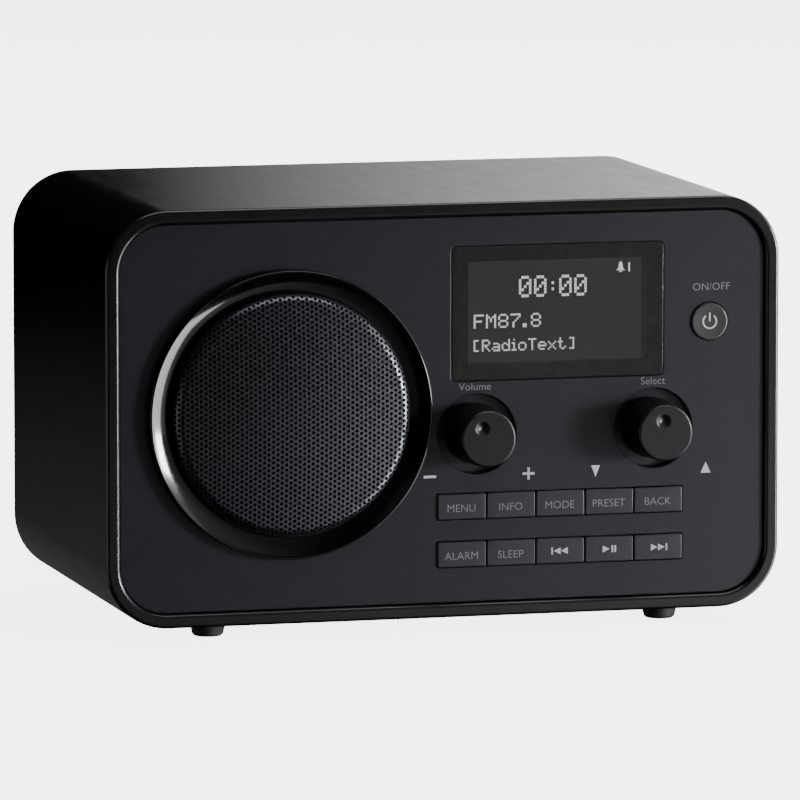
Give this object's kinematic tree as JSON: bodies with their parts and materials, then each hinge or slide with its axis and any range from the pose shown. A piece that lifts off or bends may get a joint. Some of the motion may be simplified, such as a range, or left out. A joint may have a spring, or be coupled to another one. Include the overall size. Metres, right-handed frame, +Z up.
{
  "type": "tabletop radio",
  "caption": "Black tabletop radio with a rounded wooden cabinet, a domed speaker grille, a display window, dials, keys and a folding telescopic antenna.",
  "frame": {"origin": "centre of the footprint, on the surface that the feet stand on", "axes": "+Z up, the front with the dials faces -Y, +X to the right of someone facing the radio"},
  "size_m": [0.25, 0.1762, 0.155],
  "materials": {
    "cabinet_lacquer": "black satin lacquer over fibreboard",
    "panel_plastic": "fine moulded matt black",
    "ring_gloss": "polished black",
    "grille_metal": "satin dark grey, perforated",
    "scrim_cloth": "black acoustic cloth",
    "gasket_foam": "closed-cell foam",
    "basket_steel": "black pressed steel",
    "surround_rubber": "matt rubber",
    "cone_paper": "coated paper and cloth",
    "coil_copper": "enamelled copper",
    "motor_steel": "zinc plated",
    "ferrite": "sintered ferrite",
    "wire_sheath": "soft sheath",
    "window_smoke": "smoked clear plastic",
    "shroud_black": "matt black",
    "lcd_glass": "dark display glass",
    "board_green": "solder mask",
    "switch_plastic": "moulded",
    "encoder_metal": "plated",
    "plunger_plastic": "natural",
    "knob_plastic": "fine satin black",
    "key_plastic": "fine satin black",
    "power_plastic": "satin dark grey",
    "rear_plastic": "fine moulded matt black",
    "jack_plastic": "black",
    "screw_steel": "black zinc",
    "foot_rubber": "matt rubber",
    "antenna_chrome": "polished"
  },
  "bodies": {
    "housing": {"cabinet": "cabinet_lacquer", "front_panel": "panel_plastic", "speaker_ring": "ring_gloss", "grille": "grille_metal", "grille_cloth": "scrim_cloth", "speaker_gasket": "gasket_foam", "speaker_basket": "basket_steel", "speaker_surround": "surround_rubber", "speaker_spider": "cone_paper", "motor_plates": "motor_steel", "speaker_magnet": "ferrite", "speaker_wires": "wire_sheath", "ribbon_cable": "wire_sheath", "display_window": "window_smoke", "display_shroud": "shroud_black", "lcd_panel": "lcd_glass", "display_board": "board_green", "control_board": "board_green", "main_board": "board_green", "tact_switches": "switch_plastic", "capacitors": "switch_plastic", "volume_encoder": "encoder_metal", "select_encoder": "encoder_metal", "tuner_module": "encoder_metal", "rear_panel": "rear_plastic", "bass_port": "rear_plastic", "antenna_base": "rear_plastic", "headphone_jack": "jack_plastic", "line_in_jack": "jack_plastic", "power_inlet": "jack_plastic", "front_screws": "screw_steel", "rear_screws": "screw_steel", "foot_screws": "screw_steel", "speaker_screws": "screw_steel", "board_screws": "screw_steel", "feet": "foot_rubber"},
    "speaker_moving": {"speaker_cone": "cone_paper", "dust_cap": "cone_paper", "voice_coil": "coil_copper"},
    "volume_dial": {"volume_knob": "knob_plastic", "volume_shaft": "encoder_metal"},
    "select_plunge": {"select_plunger": "plunger_plastic"},
    "select_dial": {"select_knob": "knob_plastic", "select_shaft": "encoder_metal"},
    "menu_key": {"menu_key": "key_plastic"},
    "info_key": {"info_key": "key_plastic"},
    "mode_key": {"mode_key": "key_plastic"},
    "preset_key": {"preset_key": "key_plastic"},
    "back_key": {"back_key": "key_plastic"},
    "alarm_key": {"alarm_key": "key_plastic"},
    "sleep_key": {"sleep_key": "key_plastic"},
    "previous_key": {"previous_key": "key_plastic"},
    "play_key": {"play_key": "key_plastic"},
    "next_key": {"next_key": "key_plastic"},
    "power_button": {"power_button": "power_plastic"},
    "antenna_swivel": {"antenna_yoke": "rear_plastic"},
    "antenna_mast": {"mast_outer": "antenna_chrome"},
    "antenna_second": {"mast_second": "antenna_chrome"},
    "antenna_third": {"mast_third": "antenna_chrome"},
    "antenna_inner": {"mast_inner": "antenna_chrome"}
  },
  "joints": [
    {"name": "cone_travel", "type": "slide", "parent": "housing", "child": "speaker_moving", "axis": [0, -1, 0], "range_m": [-0.0015, 0.0015], "stiffness_N_per_m": 1500, "deforming": ["speaker_surround", "speaker_spider"]},
    {"name": "volume_turn", "type": "hinge", "parent": "housing", "child": "volume_dial", "pos_m": [0.0122, -0.07412, 0.0711], "axis": [0, -1, 0], "continuous": true},
    {"name": "select_push", "type": "slide", "parent": "housing", "child": "select_plunge", "axis": [0, 1, 0], "range_m": [0, 0.0005], "stiffness_N_per_m": 3000},
    {"name": "select_turn", "type": "hinge", "parent": "select_plunge", "child": "select_dial", "pos_m": [0.0782, -0.07412, 0.0711], "axis": [0, -1, 0], "continuous": true},
    {"name": "menu_press", "type": "slide", "parent": "housing", "child": "menu_key", "axis": [0, 1, 0], "range_m": [0, 0.0008], "stiffness_N_per_m": 1500},
    {"name": "info_press", "type": "slide", "parent": "housing", "child": "info_key", "axis": [0, 1, 0], "range_m": [0, 0.0008], "stiffness_N_per_m": 1500},
    {"name": "mode_press", "type": "slide", "parent": "housing", "child": "mode_key", "axis": [0, 1, 0], "range_m": [0, 0.0008], "stiffness_N_per_m": 1500},
    {"name": "preset_press", "type": "slide", "parent": "housing", "child": "preset_key", "axis": [0, 1, 0], "range_m": [0, 0.0008], "stiffness_N_per_m": 1500},
    {"name": "back_press", "type": "slide", "parent": "housing", "child": "back_key", "axis": [0, 1, 0], "range_m": [0, 0.0008], "stiffness_N_per_m": 1500},
    {"name": "alarm_press", "type": "slide", "parent": "housing", "child": "alarm_key", "axis": [0, 1, 0], "range_m": [0, 0.0008], "stiffness_N_per_m": 1500},
    {"name": "sleep_press", "type": "slide", "parent": "housing", "child": "sleep_key", "axis": [0, 1, 0], "range_m": [0, 0.0008], "stiffness_N_per_m": 1500},
    {"name": "previous_press", "type": "slide", "parent": "housing", "child": "previous_key", "axis": [0, 1, 0], "range_m": [0, 0.0008], "stiffness_N_per_m": 1500},
    {"name": "play_press", "type": "slide", "parent": "housing", "child": "play_key", "axis": [0, 1, 0], "range_m": [0, 0.0008], "stiffness_N_per_m": 1500},
    {"name": "next_press", "type": "slide", "parent": "housing", "child": "next_key", "axis": [0, 1, 0], "range_m": [0, 0.0008], "stiffness_N_per_m": 1500},
    {"name": "power_press", "type": "slide", "parent": "housing", "child": "power_button", "axis": [0, 1, 0], "range_m": [0, 0.0008], "stiffness_N_per_m": 1500},
    {"name": "antenna_turn", "type": "hinge", "parent": "housing", "child": "antenna_swivel", "pos_m": [0.095, 0.08488, 0.135], "axis": [0, 1, 0], "range_deg": [0, 180]},
    {"name": "antenna_tilt", "type": "hinge", "parent": "antenna_swivel", "child": "antenna_mast", "pos_m": [0.095, 0.08488, 0.135], "axis": [0, 0, -1], "range_deg": [0, 90]},
    {"name": "antenna_extend_second", "type": "slide", "parent": "antenna_mast", "child": "antenna_second", "axis": [-1, 0, 0], "range_m": [0, 0.13]},
    {"name": "antenna_extend_third", "type": "slide", "parent": "antenna_second", "child": "antenna_third", "axis": [-1, 0, 0], "range_m": [0, 0.13]},
    {"name": "antenna_extend_inner", "type": "slide", "parent": "antenna_third", "child": "antenna_inner", "axis": [-1, 0, 0], "range_m": [0, 0.13]}
  ]
}
